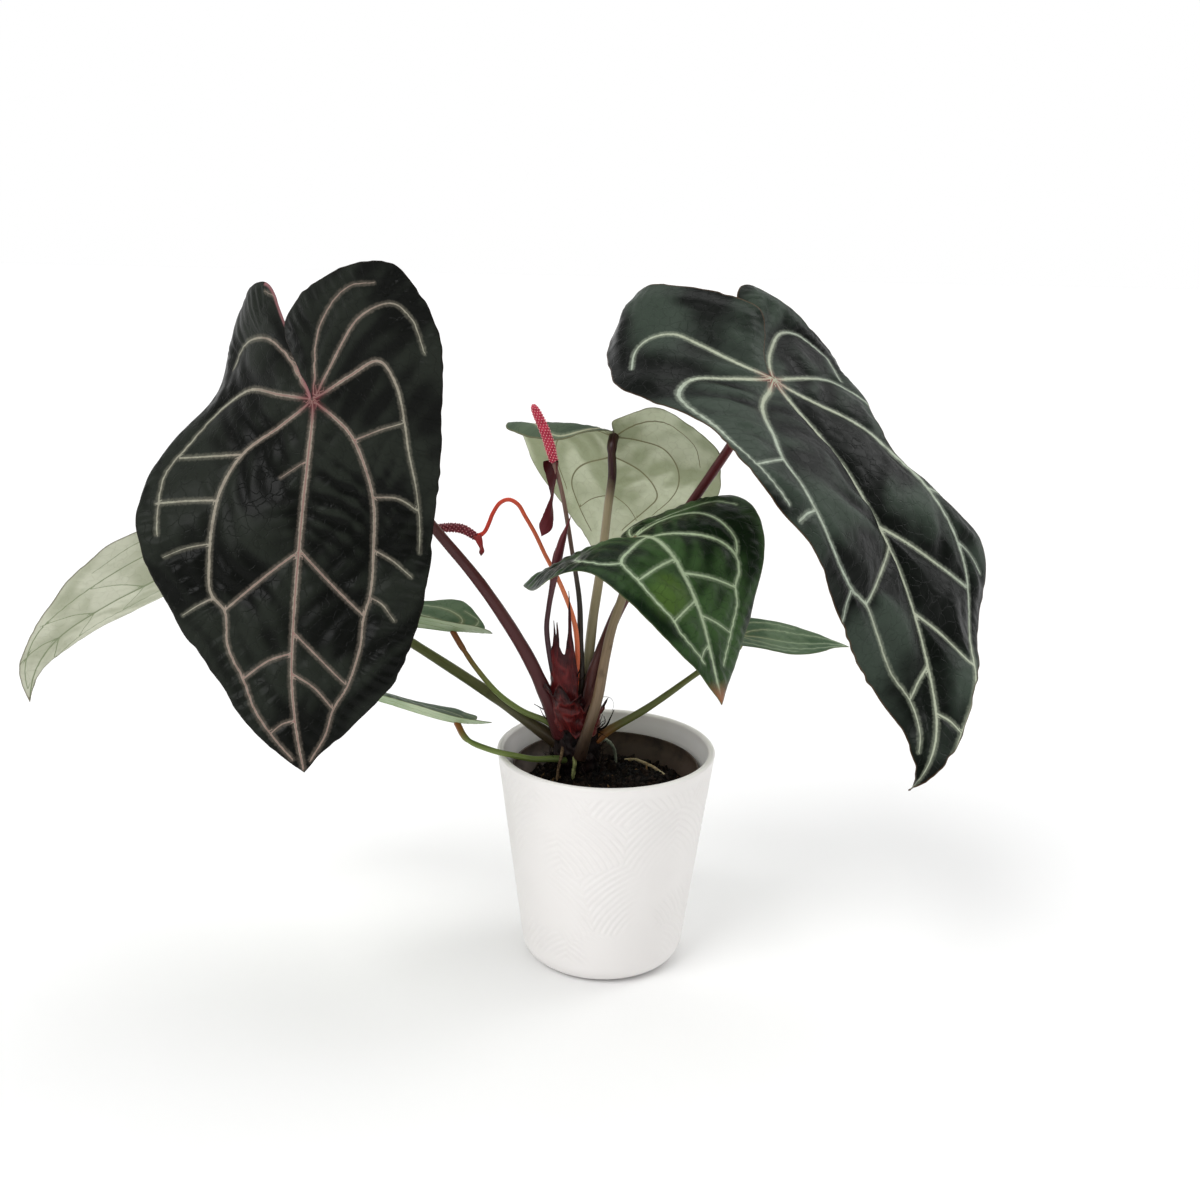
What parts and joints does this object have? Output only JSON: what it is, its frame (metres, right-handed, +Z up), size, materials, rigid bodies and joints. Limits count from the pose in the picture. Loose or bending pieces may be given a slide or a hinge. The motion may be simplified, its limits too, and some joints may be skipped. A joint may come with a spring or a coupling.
{
  "type": "potted anthurium hybrid",
  "caption": "Potted house plant with velvety heart-shaped pale-veined leaves on long stalks, red flower spikes and a white tapered outer pot with a finely grooved wall.",
  "frame": {"origin": "centre of the outer pot's flat base, on the surface that it stands on", "axes": "+Z up out of the pot; -Y towards the viewer of the picture; +X to the viewer's right, where the tall grey-green leaf hangs"},
  "size_m": [0.6011, 0.2903, 0.4496],
  "materials": {
    "outer_pot": "satin glazed white ceramic",
    "plant_pot": "brown matte plastic",
    "soil": "dark bark potting mix",
    "stem": "dark fibrous stem",
    "leaf_dark": "velvety, near-black green",
    "leaf_grey_green": "velvety, grey green with pale veins",
    "leaf_green": "green with pale veins",
    "leaf_pale": "pale green underside",
    "leaf_young": "mid green with paler underside",
    "stalk_red": "satin dark red",
    "stalk_green": "satin olive green",
    "flower_stalk": "satin red brown",
    "flower_spike": "beaded, pinkish red",
    "spathe": "satin dark maroon",
    "new_leaf": "satin maroon",
    "sheath": "papery maroon",
    "root": "rough, pale greenish tan"
  },
  "bodies": {
    "root": {"outer_pot": "outer_pot", "plant_pot": "plant_pot", "soil": "soil", "stem": "stem", "blade_left_large": "leaf_dark", "blade_right_large": "leaf_grey_green", "blade_back": "leaf_pale", "blade_front": "leaf_green", "blade_rear_left": "leaf_pale", "blade_small_upper": "leaf_young", "blade_small_lower": "leaf_young", "blade_rear_right": "leaf_young", "stalk_left_large": "stalk_red", "stalk_right_large": "stalk_red", "stalk_back": "stalk_green", "stalk_front": "stalk_green", "stalk_rear_left": "stalk_green", "stalk_small_upper": "stalk_green", "stalk_small_lower": "stalk_green", "stalk_rear_right": "stalk_green", "new_leaf": "new_leaf", "flower_stalk_upright": "flower_stalk", "flower_stalk_arched": "flower_stalk", "flower_spike_upright": "flower_spike", "flower_spike_arched": "flower_spike", "spathe_upright": "spathe", "spathe_arched": "spathe", "sheath_1": "sheath", "sheath_2": "sheath", "sheath_3": "sheath", "sheath_4": "sheath", "root_1": "root", "root_2": "root", "root_3": "root", "root_4": "root"}
  },
  "joints": []
}
